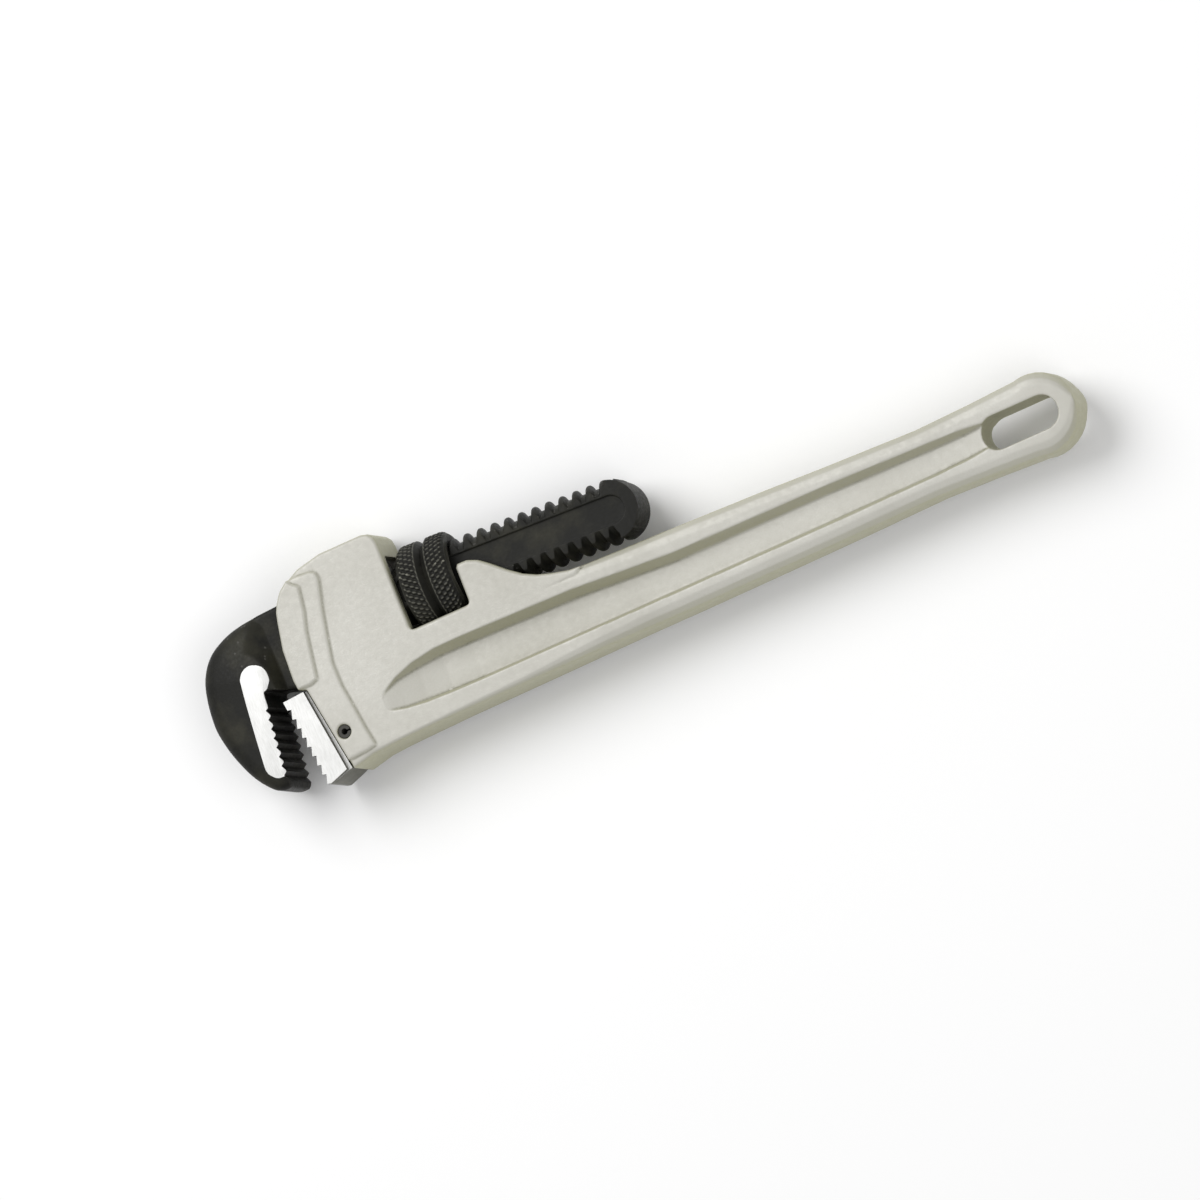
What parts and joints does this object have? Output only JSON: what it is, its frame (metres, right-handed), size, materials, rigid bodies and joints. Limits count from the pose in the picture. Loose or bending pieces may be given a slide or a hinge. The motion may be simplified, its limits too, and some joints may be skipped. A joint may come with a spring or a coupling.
{
  "type": "pipe wrench",
  "caption": "Straight pipe wrench: cast I-section handle, sliding hook jaw on a flat-sided screw, knurled captive nut, replaceable heel jaw.",
  "frame": {"origin": "centre of the wrench's bounding box in X and Y, at its lowest point in Z, where the adjusting nut meets the bench when the wrench lies on its side", "axes": "+X along the handle from the jaws to the hanging slot; +Y across the wrench from the heel jaw's tip to the top of the housing; +Z through its thickness"},
  "size_m": [0.3512, 0.0806, 0.0328],
  "materials": {
    "cast_handle": "cast aluminium, bead-blasted and lacquered, satin",
    "bright_jaw": "ground and zinc-bright steel",
    "black_forging": "black-oxide forged steel, satin",
    "black_nut": "black-oxide knurled steel",
    "spring_steel": "drawn spring steel"
  },
  "bodies": {
    "housing": {"handle": "cast_handle", "heel_jaw": "bright_jaw", "heel_jaw_pin": "black_forging", "flat_spring": "spring_steel", "flat_spring_rivet": "spring_steel"},
    "spring_follower": {"spring_guide_pin": "spring_steel", "coil_spring": "spring_steel"},
    "nut": {"adjusting_nut": "black_nut"},
    "hook": {"hook_jaw": "black_forging"}
  },
  "joints": [
    {"name": "hook_rock", "type": "hinge", "parent": "housing", "child": "spring_follower", "pos_m": [-0.0773, 0.0149, 0.0164], "axis": [0, 0, 1], "range_deg": [-1.2, 1.2], "stiffness_Nm_per_rad": 6},
    {"name": "nut_spin", "type": "hinge", "parent": "spring_follower", "child": "nut", "pos_m": [-0.0773, 0.0149, 0.0164], "axis": [0.9988, -0.0489, 0], "range_deg": [-272, 2894]},
    {"name": "hook_slide", "type": "slide", "parent": "spring_follower", "child": "hook", "axis": [0.9988, -0.0489, 0], "range_m": [-0.045, 0.0042]}
  ],
  "couplings": [
    {"joint": "nut_spin", "follows": "hook_slide", "rad_per_m": -1122}
  ]
}
